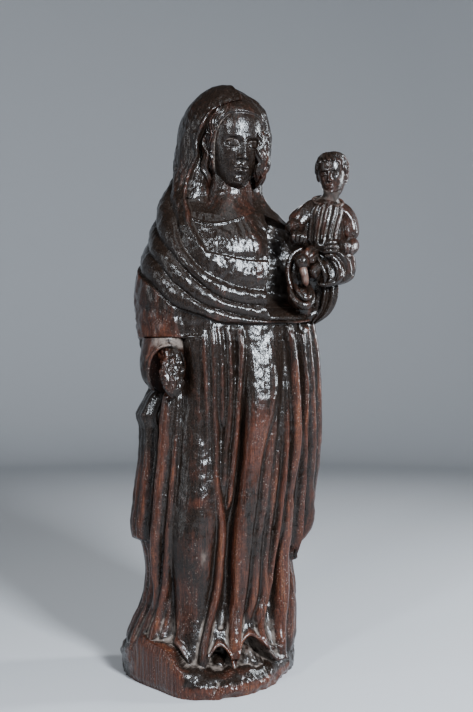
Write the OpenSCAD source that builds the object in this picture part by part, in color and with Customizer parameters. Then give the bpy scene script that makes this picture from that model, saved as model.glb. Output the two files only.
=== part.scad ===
// Standing Madonna with the Child, carved wood, assembled from blocks and boards.
// Frame: millimetres, +Z up, origin at the middle of the underside of the terrace.
// The figure faces -Y and her left side, with the Child, is at +X.

/* [Figure] */
// Height from the underside of the terrace to the crown of the veil; scales everything
height = 1000; // [800:10:1200]
// Depth of the carved drapery folds above the hem of the skirt
fold_depth = 9; // [4:1:12]
// Number of drapery folds round the skirt
fold_count = 18; // [12:1:22]

/* [Back] */
// Width of the board that closes the hollowed back
back_board_w = 128; // [110:2:140]
// Thickness of the back board at its edges
back_board_t = 24; // [18:1:28]
// Depth of the hollow behind the back board
hollow_depth = 92; // [60:2:100]

/* [Joinery] */
// Radius of the dowels that hold the side boards and the left hand
dowel_r = 7; // [5:0.5:9]
// Radius of the dowel under the Child
child_dowel_r = 6; // [4:0.5:8]
// Radius of the dowel in the Child's neck
neck_dowel_r = 4; // [3:0.5:5]
// Radius of the bench spindle hole in the underside of the terrace
spindle_r = 14; // [10:1:18]
// Depth of the bench spindle hole
spindle_depth = 60; // [40:5:70]
// Radius of the plug in the crown of the head
crown_plug_r = 12; // [8:1:13]

/* [Child] */
// Height of the Child's head
child_head_h = 74; // [66:1:80]

/* [Hidden] */

// Height of the figure that all the other lengths are given for
design_height = 1000;

dark_wood = "#2b1a12";
worn_wood = "#4a2c1c";
bare_wood = "#8a6b50";
iron = "#2e2b29";

// Body stations: height, right edge (-X), left edge (+X), front depth, back depth, roundness
body = [
    [0, -146, 146, 160, 110, 2.2],
    [30, -148, 150, 158, 112, 2.2],
    [60, -137, 149, 142, 106, 2.2],
    [100, -121, 151, 116, 99, 2.3],
    [150, -119, 156, 107, 96, 2.4],
    [205, -126, 159, 107, 97, 2.4],
    [240, -134, 170, 107, 99, 2.5],
    [300, -130, 182, 108, 100, 2.5],
    [400, -118, 195, 108, 102, 2.5],
    [500, -114, 198, 108, 102, 2.5],
    [600, -124, 191, 112, 100, 2.5],
    [640, -127, 186, 113, 96, 2.5],
    [680, -121, 179, 111, 94, 2.5],
    [720, -111, 166, 105, 92, 2.4],
    [750, -102, 148, 96, 90, 2.3],
    [775, -93, 127, 84, 87, 2.2],
    [795, -84, 108, 70, 83, 2.2],
    [815, -74, 97, 58, 80, 2.2],
    [850, -62, 100, 62, 84, 2.1],
    [880, -58, 109, 74, 88, 2.1],
    [910, -54, 111, 80, 90, 2.1],
    [940, -47, 105, 76, 87, 2.1],
    [965, -35, 92, 60, 75, 2.1],
    [985, -15, 66, 38, 50, 2.0],
    [1000, 8, 42, 17, 20, 2.0]
];
// Columns of the body stations
right_edge = 1;
left_edge = 2;
front_depth = 3;
back_depth = 4;
roundness = 5;

// Share of the fold depth at each height: none on the terrace, the shoulders and the head
fold_shares = [
    [0, 0], [70, 0], [100, 1], [300, 0.75], [540, 0.4], [600, 0.15], [780, 0.15], [830, 0],
    [1000, 0]
];
// Share of a fold's depth that lies below the drawn outline
fold_middle = 0.7;
// Rise of the figure over which a fold leans by one degree
fold_lean = 14;

rings = 44;
segments = 80;
slim = 24;
egg_levels = 12;
body_top = body[len(body) - 1][0];

// A distance beyond the figure on every side
far = 260;

// Heights where the side boards of the mantle start and end, and their inner faces
mantle_low = 212;
mantle_high = 600;
right_board_x = -104;
left_board_x = 152;

// The back board's foot, top, middle and outer edge, and the wood left round the hollow
back_low = 90;
back_high = 720;
back_middle = 25;
back_face = 96;
hollow_border = 16;

nail_heights = [120, 320, 500, 690];
nail_shank_r = 2.4;
nail_head_r = 6;
nail_head_t = 3;
nail_length = 42;
nail_face = back_face - 5;

// The right sleeve ends in a cuff glued on below a straight joint
cuff_low = 478;
cuff_top = 562;
cuff_notch_low = 470;
cuff_dowel_spots = [[-98, -50], [-64, -50]];
cuff_dowel_r = 5;

// The forearm comes down and forward out of the cuff, and is broken off above the wrist
forearm_from = [-81, -62, 540];
forearm_tilt = [147, 0, 0];
forearm_r = 20;
forearm_length = 74;
forearm_dowel_r = 6;

// Ledge that the left hand stands on, and the side of the torso behind the Child
ledge_z = 596;
recess_top = 768;
recess_x = 88;
recess_y = -34;

child_spot = [186, -66];
child_neck = [190, -70, 796];
crown_spot = [25, 0];
crown_plug_low = 958;

// Curved value between b and c at share t, with a and d as the outer neighbours
function curved(a, b, c, d, t) =
    b + 0.5 * t * (c - a + t * (2 * a - 5 * b + 4 * c - d + t * (3 * (b - c) + d - a)));
function station_below(table, z, i = 0) =
    i >= len(table) - 2 || z < table[i + 1][0] ? i : station_below(table, z, i + 1);
function clamped(table, i) = table[max(0, min(len(table) - 1, i))];
// Value of one column of a station table at a height
function at(table, z, column) =
    let (i = station_below(table, z), t = (z - table[i][0]) / (table[i + 1][0] - table[i][0]))
    curved(clamped(table, i - 1)[column], table[i][column], table[i + 1][column],
           clamped(table, i + 2)[column], t);

// Point of a rounded outline round (cx, cy) at a turn from the front towards +X
function outline_point(cx, cy, half_w, front, back, n, turn, relief) =
    let (s = sin(turn), c = cos(turn), depth = c > 0 ? front : back,
         r = pow(pow(abs(s) / half_w, n) + pow(abs(c) / depth, n), -1 / n) + relief)
    [cx + r * s, cy - r * c];

function fold_relief(turn, z) =
    fold_depth * lookup(z, fold_shares)
    * (pow(abs(sin(fold_count * turn / 2 + z / fold_lean)), 0.7) - fold_middle);

// Closed solid from rings of points, all with the same count, bottom to top
module skin(levels) {
    count = len(levels[0]);
    last = len(levels) - 1;
    sides = [
        for (i = [0:last - 1], j = [0:count - 1])
            each let (a = i * count + j, b = i * count + (j + 1) % count)
            [[a, b + count, b], [a, a + count, b + count]]
    ];
    bottom = [for (j = [0:count - 1]) j];
    top = [for (j = [count - 1:-1:0]) last * count + j];
    points = [for (level = levels) each level];
    polyhedron(points = points, faces = concat(sides, [bottom, top]), convexity = 8);
}

// Round solid from stations [height, cx, cy, half width, half depth]
module turned(stations, count = slim) {
    skin([
        for (s = stations)
            [for (j = [0:count - 1])
                let (turn = 360 * j / count, p = outline_point(s[1], s[2], s[3], s[4], s[4], 2, turn, 0))
                [p[0], p[1], s[0]]]
    ]);
}

// Egg-shaped solid round a centre, with its half width, half depth and half height
module egg(centre, size) {
    turned([
        for (i = [0:egg_levels])
            let (lean = -86 + 172 * i / egg_levels)
            [centre[2] + size[2] * sin(lean), centre[0], centre[1], size[0] * cos(lean), size[1] * cos(lean)]
    ]);
}

// Joins carved forms into one closed form, which is then bored
module carved() {
    resize([0, 0, 0]) union() children();
}

// Straight round bar from a point, upright before it is tilted
module bar(from, tilt, r, length) {
    translate(from) rotate(tilt) cylinder(r = r, h = length, $fn = 48);
}

// Box between two corners
module block(low, high) {
    translate(low) cube(high - low);
}

// Brings a finished piece from the design height to the chosen height, in its colour
module finished(shade) {
    color(shade) scale(height / design_height) children();
}

// The whole carved outline, before it is divided into trunk and boards
module figure_outline() {
    skin([
        for (i = [0:rings])
            let (z = body_top * i / rings, low_x = at(body, z, right_edge), high_x = at(body, z, left_edge),
                 front = at(body, z, front_depth), back = at(body, z, back_depth), n = at(body, z, roundness))
            [for (j = [0:segments - 1])
                let (turn = 360 * j / segments,
                     p = outline_point((low_x + high_x) / 2, 0, (high_x - low_x) / 2, front, back, n,
                                       turn, fold_relief(turn, z)))
                [p[0], p[1], z]]
    ]);
}

module right_board_room() {
    block([-far, -70, mantle_low], [right_board_x, far, mantle_high]);
}

module left_board_room() {
    block([left_board_x, -78, mantle_low], [far, far, mantle_high - 10]);
}

// Rebate that the back board lies in, open to the back
module back_board_room() {
    block([back_middle - back_board_w / 2, back_face - back_board_t, back_low],
          [back_middle + back_board_w / 2, far, back_high]);
}

// Hollow cut out behind the back board, so that the trunk doesn't split as it dries
module hollow_room() {
    half_w = back_board_w / 2 - hollow_border;
    floor_y = back_face - back_board_t;
    block([back_middle - half_w, floor_y - hollow_depth, back_low + hollow_border],
          [back_middle + half_w, floor_y + 1, back_high - hollow_border]);
}

// Recess between the torso and the Child, above the ledge for the left hand
module arm_recess() {
    block([recess_x, -far, ledge_z], [far, recess_y, recess_top]);
}

module cuff_room() {
    block([-far, -far, cuff_notch_low], [-46, -38, cuff_top]);
}

module mantle_board_dowel_bars() {
    for (z = [290, 560]) {
        bar([right_board_x - 9, 20, z], [0, 90, 0], dowel_r, 50);
        bar([left_board_x - 40, 20, z], [0, 90, 0], dowel_r, 54);
    }
}

module for_each_back_board_nail() {
    reach = back_board_w / 2 - hollow_border / 2;
    for (z = nail_heights, side = [-1, 1]) translate([back_middle + side * reach, nail_face, z]) children();
}

module back_board_nail_holes() {
    for_each_back_board_nail() {
        bar([0, 0, 0], [90, 0, 0], nail_shank_r, nail_length);
        bar([0, 0, 0], [-90, 0, 0], nail_head_r, 30);
    }
}

module right_cuff_dowel_bars() {
    for (spot = cuff_dowel_spots) bar([spot[0], spot[1], cuff_top - 22], [0, 0, 0], cuff_dowel_r, 44);
}

// Part of the forearm's own axis, from inside the arm to the break
module along_forearm(r, start, length) {
    translate(forearm_from)
        rotate(forearm_tilt)
            translate([0, 0, start])
                cylinder(r = r, h = length, $fn = 48);
}

module left_hand_dowel_bar() {
    bar([148, -72, 614], [-90, 0, 0], dowel_r, 66);
}

module left_sleeve_dowel_bar() {
    bar([184, -60, 608], [-90, 0, 0], dowel_r, 56);
}

module child_dowel_bar() {
    bar([child_spot[0], child_spot[1], 626], [0, 0, 0], child_dowel_r, 60);
}

module child_neck_dowel_bar() {
    bar(child_neck - [0, 0, 20], [0, 0, 0], neck_dowel_r, 44);
}

module crown_plug_bar() {
    bar([crown_spot[0], crown_spot[1], crown_plug_low], [0, 0, 0], crown_plug_r, body_top - crown_plug_low);
}

module trunk() {
    finished(dark_wood) difference() {
        carved() {
            difference() {
                figure_outline();
                right_board_room();
                left_board_room();
                back_board_room();
                hollow_room();
                arm_recess();
                cuff_room();
                egg([34, -66, 872], [44, 40, 66]);
            }
            egg([34, -40, 880], [43, 46, 62]);
            turned([[776, 28, -20, 44, 46], [856, 32, -28, 33, 34]]);
        }
        mantle_board_dowel_bars();
        back_board_nail_holes();
        right_cuff_dowel_bars();
        left_hand_dowel_bar();
        left_sleeve_dowel_bar();
        crown_plug_bar();
        bar([0, 0, -1], [0, 0, 0], spindle_r, spindle_depth + 1);
    }
}

module back_board() {
    finished(dark_wood) difference() {
        carved() intersection() {
            figure_outline();
            back_board_room();
        }
        back_board_nail_holes();
    }
}

// Forged nails, sunk a little below the face of the board
module back_board_nails() {
    finished(iron) for_each_back_board_nail() union() {
        bar([0, 0, 0], [90, 0, 0], nail_shank_r, nail_length);
        bar([0, 0, 0], [-90, 0, 0], nail_head_r, nail_head_t);
    }
}

module right_mantle_board() {
    finished(worn_wood) difference() {
        carved() intersection() {
            figure_outline();
            right_board_room();
        }
        mantle_board_dowel_bars();
    }
}

module left_mantle_board() {
    finished(worn_wood) difference() {
        carved() intersection() {
            figure_outline();
            left_board_room();
        }
        mantle_board_dowel_bars();
    }
}

module mantle_board_dowels() {
    finished(bare_wood) mantle_board_dowel_bars();
}

// Hanging end of the right sleeve, hollow in front where the forearm comes out
module right_cuff() {
    finished(bare_wood) difference() {
        carved() intersection() {
            difference() {
                turned([
                    [cuff_low - 6, -97, -50, 15, 12], [cuff_low + 12, -95, -54, 28, 28],
                    [cuff_low + 40, -91, -60, 39, 42], [cuff_top, -87, -60, 43, 46]
                ]);
                egg([-78, -92, 500], [26, 44, 46]);
            }
            cuff_room();
        }
        right_cuff_dowel_bars();
        along_forearm(forearm_r, -6, 60);
    }
}

module right_cuff_dowels() {
    finished(bare_wood) right_cuff_dowel_bars();
}

module right_forearm() {
    finished(dark_wood) difference() {
        union() {
            along_forearm(forearm_r, 0, forearm_length);
            translate(forearm_from) rotate(forearm_tilt) translate([0, 0, forearm_length])
                cylinder(r1 = forearm_r, r2 = forearm_r * 0.7, h = 8, $fn = 48);
        }
        along_forearm(forearm_dowel_r, -6, 40);
    }
}

module right_forearm_dowel() {
    finished(bare_wood) along_forearm(forearm_dowel_r, -6, 40);
}

// Left hand, cupped under the Child's foot
module left_hand() {
    finished(worn_wood) difference() {
        carved() {
            difference() {
                union() {
                    egg([150, -86, 626], [24, 36, 27]);
                    block([134, -70, ledge_z], [164, recess_y, 634]);
                }
                egg([150, -100, 646], [16, 27, 20]);
            }
        }
        left_hand_dowel_bar();
        child_dowel_bar();
    }
}

module left_hand_dowel() {
    finished(bare_wood) left_hand_dowel_bar();
}

// Gathered end of the left sleeve, which carries the Child's seat
module left_sleeve_end() {
    finished(worn_wood) difference() {
        carved() difference() {
            union() {
                turned([
                    [ledge_z, 184, -68, 10, 12], [606, 185, -70, 14, 20], [626, 187, -66, 19, 28],
                    [654, 189, -62, 22, 27]
                ]);
                block([173, -66, ledge_z], [197, recess_y, 644]);
            }
            egg([150, -86, 626], [24.3, 36.3, 27.3]);
            block([134, -70, ledge_z], [164.3, recess_y, 634]);
        }
        left_sleeve_dowel_bar();
        child_dowel_bar();
    }
}

module left_sleeve_dowel() {
    finished(bare_wood) left_sleeve_dowel_bar();
}

// The Child's body, sitting on the sleeve with the right foot in the hand
module child_body() {
    finished(worn_wood) difference() {
        carved() {
            turned([
                [654, 191, -62, 40, 27], [680, 192, -66, 44, 31], [706, 190, -66, 40, 31],
                [740, 186, -64, 34, 27], [765, 183, -65, 42, 26], [780, 184, -67, 38, 22],
                [790, 188, -69, 22, 18], [child_neck[2], 190, -70, 15, 15]
            ]);
            egg([146, -76, 752], [17, 18, 30]);
            egg([140, -96, 730], [12, 17, 13]);
            egg([222, -74, 746], [16, 20, 36]);
            egg([202, -98, 716], [29, 15, 13]);
            egg([148, -98, 690], [14, 22, 16]);
            turned([[640, 149, -104, 8, 8], [660, 147, -108, 8, 8], [690, 147, -106, 11, 12]]);
            egg([150, -104, 640], [9, 18, 8]);
        }
        child_dowel_bar();
        child_neck_dowel_bar();
    }
}

module child_dowel() {
    finished(bare_wood) child_dowel_bar();
}

module child_head() {
    finished(dark_wood) difference() {
        carved() {
            egg([199, -74, child_neck[2] + 9 + child_head_h / 2], [27, 32, child_head_h / 2]);
            turned([[child_neck[2], 190, -70, 12, 12], [826, 195, -72, 14, 15]]);
        }
        child_neck_dowel_bar();
    }
}

module child_neck_dowel() {
    finished(bare_wood) child_neck_dowel_bar();
}

module crown_plug() {
    finished(bare_wood) crown_plug_bar();
}

trunk();
back_board();
back_board_nails();
right_mantle_board();
left_mantle_board();
mantle_board_dowels();
right_cuff();
right_cuff_dowels();
right_forearm();
right_forearm_dowel();
left_hand();
left_hand_dowel();
left_sleeve_end();
left_sleeve_dowel();
child_body();
child_dowel();
child_head();
child_neck_dowel();
crown_plug();
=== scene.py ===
# %% [markdown]
# A carved wooden Madonna, about a metre tall. The CAD model holds the blocks, boards and dowels
# and their sizes. This file gives each visible block its carved skin and its waxed finish.
# Lengths below are design millimetres for a figure 1000 mm tall, and K turns them into metres.

# %% Load the frame
import bpy
import numpy as np
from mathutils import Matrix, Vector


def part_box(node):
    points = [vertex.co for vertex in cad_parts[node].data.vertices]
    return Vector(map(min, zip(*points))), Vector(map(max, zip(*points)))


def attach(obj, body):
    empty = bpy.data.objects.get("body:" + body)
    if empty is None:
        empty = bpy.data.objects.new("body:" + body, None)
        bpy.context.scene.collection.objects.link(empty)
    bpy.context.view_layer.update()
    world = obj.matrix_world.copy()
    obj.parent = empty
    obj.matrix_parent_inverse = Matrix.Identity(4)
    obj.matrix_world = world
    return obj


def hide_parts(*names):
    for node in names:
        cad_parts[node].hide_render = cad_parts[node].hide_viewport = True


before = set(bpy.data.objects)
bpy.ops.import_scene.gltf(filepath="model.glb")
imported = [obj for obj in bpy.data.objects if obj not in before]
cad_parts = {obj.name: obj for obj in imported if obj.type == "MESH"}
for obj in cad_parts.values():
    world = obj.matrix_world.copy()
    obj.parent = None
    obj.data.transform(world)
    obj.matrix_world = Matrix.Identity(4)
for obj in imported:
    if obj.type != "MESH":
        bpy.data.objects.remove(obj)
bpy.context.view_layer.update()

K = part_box("trunk")[1][2] / 1000

# %% [markdown]
# The camera is a 50 mm lens at chest height, turned 12 degrees to the figure's right hand.
# It is level, so that upright folds stay upright in the picture.

# %% Camera
CAMERA_TURN = np.radians(-12)
CAMERA_DISTANCE = 1.705
CAMERA_HEIGHT = 0.536
CAMERA_SIDE = 0.049

towards_camera = np.array([np.sin(CAMERA_TURN), -np.cos(CAMERA_TURN), 0])
camera_right = np.array([np.cos(CAMERA_TURN), np.sin(CAMERA_TURN), 0])
camera_data = bpy.data.cameras.new("camera")
camera_data.lens = 50
camera_data.sensor_width = 36
camera = bpy.data.objects.new("camera", camera_data)
camera.location = towards_camera * CAMERA_DISTANCE + camera_right * CAMERA_SIDE + [0, 0, CAMERA_HEIGHT]
camera.rotation_euler = (np.pi / 2, 0, CAMERA_TURN)
bpy.context.scene.collection.objects.link(camera)
bpy.context.scene.camera = camera
print("camera at", tuple(camera.location))

# %% [markdown]
# Every carved form here is a grid of points, worked out as whole arrays. Three helpers do most
# of the work: a curve through a few chosen points, a soft step, and seeded smooth noise.

# %% Curves, steps and noise
def curve(points, at):
    """Smooth curve through (position, value) points: cubic pieces whose slope at a point is the
    mean slope of its two neighbours, held level beyond the ends."""
    points = np.array(points, float)
    x, y = points[np.argsort(points[:, 0])].T
    slope = np.gradient(y, x) if len(x) > 2 else np.full(len(x), (y[-1] - y[0]) / (x[-1] - x[0]))
    at = np.clip(at, x[0], x[-1])
    i = np.clip(np.searchsorted(x, at, side="right") - 1, 0, len(x) - 2)
    span = x[i + 1] - x[i]
    t = (at - x[i]) / span
    return (y[i] * (2 * t**3 - 3 * t**2 + 1) + y[i + 1] * (3 * t**2 - 2 * t**3)
            + slope[i] * span * (t**3 - 2 * t**2 + t) + slope[i + 1] * span * (t**3 - t**2))


def step(low, high, x):
    """Rises smoothly from 0 at low to 1 at high: 3t squared less 2t cubed."""
    t = np.clip((x - low) / (high - low), 0, 1)
    return t * t * (3 - 2 * t)


def bell(*distances):
    """A smooth bump, one in the middle: e to minus the sum of the squared distances."""
    return np.exp(-sum(distance**2 for distance in distances))


def hump(x, power=1.0):
    """A rounded ridge from -1 to 1: one less x squared, raised to a power."""
    return np.clip(1 - x * x, 0, 1) ** power


def noise(a, b, seed, wrap=None):
    """Smooth bumps between -1 and 1 over the plane (a, b), one unit apart: seeded random heights
    at whole numbers, eased between them. wrap is the number of units after which a repeats."""
    heights = np.random.default_rng(seed).uniform(-1, 1, (512, 512))
    i, j = np.floor(a).astype(int), np.floor(b).astype(int)
    s, t = a - i, b - j
    s, t = s * s * (3 - 2 * s), t * t * (3 - 2 * t)
    count = wrap or 512
    i0, i1, j0, j1 = i % count, (i + 1) % count, j % 512, (j + 1) % 512
    low = heights[i0, j0] * (1 - s) + heights[i1, j0] * s
    high = heights[i0, j1] * (1 - s) + heights[i1, j1] * s
    return low * (1 - t) + high * t


def blurred(field, passes, wrap=True):
    """The field after a number of passes that mix each value with its four neighbours."""
    for _ in range(passes):
        side = np.roll(field, 1, 1) + np.roll(field, -1, 1)
        if not wrap:
            side[:, 0] = 2 * field[:, 0]
            side[:, -1] = 2 * field[:, -1]
        padded = np.vstack([field[:1], field, field[-1:]])
        field = 0.5 * field + 0.125 * (side + padded[:-2] + padded[2:])
    return field


# %% [markdown]
# A grid becomes a mesh by joining each point to its neighbours. Rings close on themselves, and
# a fan of triangles closes each end, so that every piece is a closed skin like the solid it
# stands for. Wear and dust are stored per point, for the material to read.

# %% Grid to mesh
def fan_ends(rows, cols):
    """Triangles that close the first and the last ring onto one point each."""
    ring = np.arange(cols)
    turned, last, foot = (ring + 1) % cols, (rows - 1) * cols, rows * cols
    return np.concatenate([np.stack([np.full(cols, foot), turned, ring], 1),
                           np.stack([np.full(cols, foot + 1), ring + last, turned + last], 1)])


def band_ends(rows, cols):
    """Triangles that close the first and the last ring of a board: the near half of the ring is
    its face and the far half its back, so each end is a strip between the two."""
    near = np.arange(cols // 2 - 1)
    far, last = cols - 1 - near, (rows - 1) * cols
    strip = np.concatenate([np.stack([near + 1, near, far], 1), np.stack([near + 1, far, far - 1], 1)])
    return np.concatenate([strip, strip[:, ::-1] + last])


def skin(name, layers, material, sharp=1.2):
    """One object from layers (x, y, z, marks, ends): each is a closed skin whose rows are rings.
    marks holds its wear, dust and tone, and ends closes it. A layer that comes out inside
    out, by the sign of its volume, is turned round. Lengths are design millimetres."""
    points, quads, fans, marks = [], [], [], {"wear": [], "dust": [], "tone": []}
    base = 0
    for x, y, z, values, ends in layers:
        rows, cols = x.shape
        grid = np.stack([x.ravel(), y.ravel(), z.ravel()], 1)
        grid = np.concatenate([grid, [grid[:cols].mean(0), grid[-cols:].mean(0)]])
        first = (np.arange(rows - 1)[:, None] * cols + np.arange(cols)).ravel()
        second = (np.arange(rows - 1)[:, None] * cols + (np.arange(cols) + 1) % cols).ravel()
        q = np.stack([first, second, second + cols, first + cols], 1)
        f = ends(rows, cols)
        corners = grid[q] - grid.mean(0)
        volume = (np.cross(corners[:, 0], corners[:, 1]) * corners[:, 2]).sum()
        if volume < 0:
            q, f = q[:, ::-1], f[:, ::-1]
        used = len(grid) if ends is fan_ends else rows * cols
        points.append(grid[:used])
        quads.append(q + base)
        fans.append(f + base)
        for key in marks:
            value = np.broadcast_to(values.get(key, 0.0), x.shape).ravel()
            marks[key].append(np.concatenate([value, value[:1], value[-1:]])[:used])
        base += used
    points = np.concatenate(points) * K
    quads, fans = np.concatenate(quads), np.concatenate(fans)
    mesh = bpy.data.meshes.new(name)
    mesh.vertices.add(len(points))
    mesh.vertices.foreach_set("co", points.astype(np.float32).ravel())
    mesh.loops.add(quads.size + fans.size)
    mesh.loops.foreach_set("vertex_index", np.concatenate([quads.ravel(), fans.ravel()]).astype(np.int32))
    mesh.polygons.add(len(quads) + len(fans))
    starts = np.concatenate([np.arange(len(quads)) * 4, quads.size + np.arange(len(fans)) * 3])
    mesh.polygons.foreach_set("loop_start", starts.astype(np.int32))
    mesh.update(calc_edges=True)
    mesh.validate()
    for key, values in marks.items():
        attribute = mesh.attributes.new(key, "FLOAT", "POINT")
        attribute.data.foreach_set("value", np.concatenate(values).astype(np.float32))
    mesh.shade_smooth()
    mesh.set_sharp_from_angle(angle=sharp)
    mesh.materials.append(material)
    piece = bpy.data.objects.new(name, mesh)
    bpy.context.scene.collection.objects.link(piece)
    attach(piece, "root")
    print(name, "has", len(points), "points and", 2 * len(quads) + len(fans), "triangles")
    return piece


def worn(relief, passes=24, share=1.6):
    """Marks for the material: wear where the relief stands above its own blurred copy, and dust
    where it lies below it. The robe's tone also uses the broad hollows to paint shade."""
    above = relief - blurred(relief, passes)
    return {"wear": np.clip(above / share, 0, 1), "dust": np.clip(-above / share, 0, 1)}


# %% [markdown]
# The wood is dark walnut-coloured from old wax, rubbed back to red-brown on the ridges, with
# pale dust in the creases and small beetle holes. The grain runs up the log, so its pattern is
# stretched along Z. A clear coat gives the wax its hard highlights over a rougher ground.

# %% Waxed wood
class Graph:
    """Short names for adding and joining shader nodes. A scale is in units per metre."""

    def __init__(self, name):
        self.material = bpy.data.materials.new(name)
        self.material.use_nodes = True
        self.nodes = self.material.node_tree.nodes
        self.links = self.material.node_tree.links
        self.shader = self.nodes["Principled BSDF"]

    def put(self, socket, value):
        if isinstance(value, bpy.types.NodeSocket):
            self.links.new(value, socket)
        else:
            socket.default_value = value

    def math(self, operation, a, b=0.0, c=0.0, clamp=False):
        node = self.nodes.new("ShaderNodeMath")
        node.operation = operation
        node.use_clamp = clamp
        for socket, value in zip(node.inputs, (a, b, c)):
            self.put(socket, value)
        return node.outputs[0]

    def ramp(self, value, low, high, bottom=0.0, top=1.0):
        node = self.nodes.new("ShaderNodeMapRange")
        node.interpolation_type = "SMOOTHSTEP"
        for socket, given in zip(node.inputs, (value, low, high, bottom, top)):
            self.put(socket, given)
        return node.outputs[0]

    def mix(self, share, a, b):
        node = self.nodes.new("ShaderNodeMix")
        node.data_type = "RGBA"
        for socket, value in ((0, share), (6, a), (7, b)):
            self.put(node.inputs[socket], value)
        return node.outputs[2]

    def place(self, scale):
        coordinates = self.nodes.new("ShaderNodeTexCoord")
        node = self.nodes.new("ShaderNodeMapping")
        self.links.new(coordinates.outputs["Object"], node.inputs["Vector"])
        node.inputs["Scale"].default_value = scale
        return node.outputs[0]

    def noise(self, scale, detail=4.0, roughness=0.55):
        node = self.nodes.new("ShaderNodeTexNoise")
        self.links.new(self.place(scale), node.inputs["Vector"])
        node.inputs["Scale"].default_value = 1.0
        node.inputs["Detail"].default_value = detail
        node.inputs["Roughness"].default_value = roughness
        return node.outputs["Fac"]

    def cells(self, scale):
        node = self.nodes.new("ShaderNodeTexVoronoi")
        self.links.new(self.place(scale), node.inputs["Vector"])
        node.inputs["Scale"].default_value = 1.0
        return node.outputs["Distance"]

    def mark(self, name):
        node = self.nodes.new("ShaderNodeAttribute")
        node.attribute_name = name
        return node.outputs["Fac"]

    def bump(self, height, distance, below=None):
        node = self.nodes.new("ShaderNodeBump")
        node.inputs["Strength"].default_value = 1.0
        node.inputs["Distance"].default_value = distance
        self.links.new(height, node.inputs["Height"])
        if below:
            self.links.new(below, node.inputs["Normal"])
        return node.outputs["Normal"]


BLACK_BROWN = (0.0088, 0.0050, 0.0033, 1)
RED_BROWN = (0.046, 0.0142, 0.0080, 1)
ORANGE_BROWN = (0.120, 0.043, 0.019, 1)
PALE_DUST = (0.21, 0.17, 0.145, 1)


def waxed_wood(name, dark, red, bright, redness, dustiness):
    """Wood under old wax. tone, an attribute, says how far the ground is rubbed from dark to
    red, and it is also lowered to paint shade in hollows and under overhangs; wear lifts ridges
    to the bright colour, and dust lays pale grey in the creases."""
    g = Graph(name)
    patches = g.noise((15, 15, 7), 6, 0.6)
    grain = g.noise((520, 520, 34), 4, 0.65)
    streaks = g.noise((120, 120, 8), 5, 0.6)
    lumps = g.noise((120, 120, 85), 4, 0.6)
    hammered = g.noise((260, 260, 210), 3, 0.6)
    pits = g.noise((520, 520, 420), 3, 0.6)
    # The tone attribute plus noise: how far the ground is rubbed to red, lowered where shade is painted into
    # hollows and under overhangs.
    rub_and_shade = g.mark("tone")
    for field, strength, shift in ((patches, 3.2, -1.65), (streaks, 1.4, -0.7), (lumps, 0.8, -0.4)):
        rub_and_shade = g.math("ADD", rub_and_shade, g.math("MULTIPLY_ADD", field, strength, shift))
    rub_and_shade = g.math("ADD", rub_and_shade, redness)
    rub_and_shade = g.math("ADD", rub_and_shade, g.math("MULTIPLY", g.mark("wear"), 0.35), clamp=True)
    ground = g.mix(rub_and_shade, dark, red)
    bare = g.ramp(g.mark("wear"), 0.0, 1.0, 0.35, 0.9)
    for field, low, high in ((streaks, 0.45, 0.72), (patches, 0.42, 0.62), (rub_and_shade, 0.5, 1.0)):
        bare = g.math("MULTIPLY", bare, g.ramp(field, low, high))
    colour = g.mix(bare, ground, bright)
    shade = g.math("MULTIPLY", g.ramp(grain, 0.3, 0.7, 0.45, 1.35), g.ramp(pits, 0.3, 0.62, 0.5, 1.2))
    shaded = g.nodes.new("ShaderNodeVectorMath")
    shaded.operation = "SCALE"
    g.links.new(colour, shaded.inputs[0])
    g.links.new(shade, shaded.inputs["Scale"])
    speckle = g.ramp(g.cells((300, 300, 240)), 0.23, 0.12)
    speckle = g.math("MULTIPLY", speckle, g.ramp(g.noise((26, 26, 12), 4, 0.7), 0.42, 0.56))
    speckle = g.math("MULTIPLY", speckle, g.ramp(rub_and_shade, 0.0, 0.5, 0.16, 0.75))
    settled = g.math("MULTIPLY", g.ramp(g.mark("dust"), 0.2, 1.0), g.ramp(lumps, 0.32, 0.58))
    settled = g.math("MULTIPLY", settled, dustiness)
    dusty = g.mix(g.math("MAXIMUM", settled, speckle), shaded.outputs[0], PALE_DUST)
    g.put(g.shader.inputs["Base Color"], dusty)
    rough = g.math("ADD", g.ramp(patches, 0.35, 0.7, 0.32, 0.46), g.math("MULTIPLY", settled, 0.4))
    rough = g.math("ADD", rough, g.ramp(pits, 0.4, 0.65, 0.0, 0.12))
    g.put(g.shader.inputs["Roughness"], rough)
    g.shader.inputs["IOR"].default_value = 1.13
    g.put(g.shader.inputs["Coat Weight"], g.math("SUBTRACT", 0.85, settled, clamp=True))
    g.shader.inputs["Coat Roughness"].default_value = 0.19
    g.shader.inputs["Coat IOR"].default_value = 1.41
    holes = g.ramp(g.cells((170, 170, 150)), 0.09, 0.13)
    holes = g.math("MAXIMUM", holes, g.ramp(g.noise((11, 11, 9), 2), 0.60, 0.56))
    g.put(g.shader.inputs["Coat Normal"], g.bump(hammered, 0.0004, g.bump(lumps, 0.0009)))
    normal = g.bump(lumps, 0.0020)
    for field, depth in ((hammered, 0.0008), (pits, 0.0002), (grain, 0.00025), (holes, 0.0008)):
        normal = g.bump(field, depth, normal)
    g.put(g.shader.inputs["Normal"], normal)
    return g.material


def bare_wood():
    """Plain dowel wood: pale brown with darker grain along Z, unwaxed."""
    g = Graph("bare_dowel_wood")
    grain = g.noise((300, 300, 30), 4, 0.6)
    pale = g.ramp(grain, 0.3, 0.7)
    g.put(g.shader.inputs["Base Color"], g.mix(pale, (0.11, 0.058, 0.030, 1), (0.21, 0.13, 0.075, 1)))
    g.shader.inputs["Roughness"].default_value = 0.7
    g.put(g.shader.inputs["Normal"], g.bump(grain, 0.0003))
    return g.material


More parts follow.
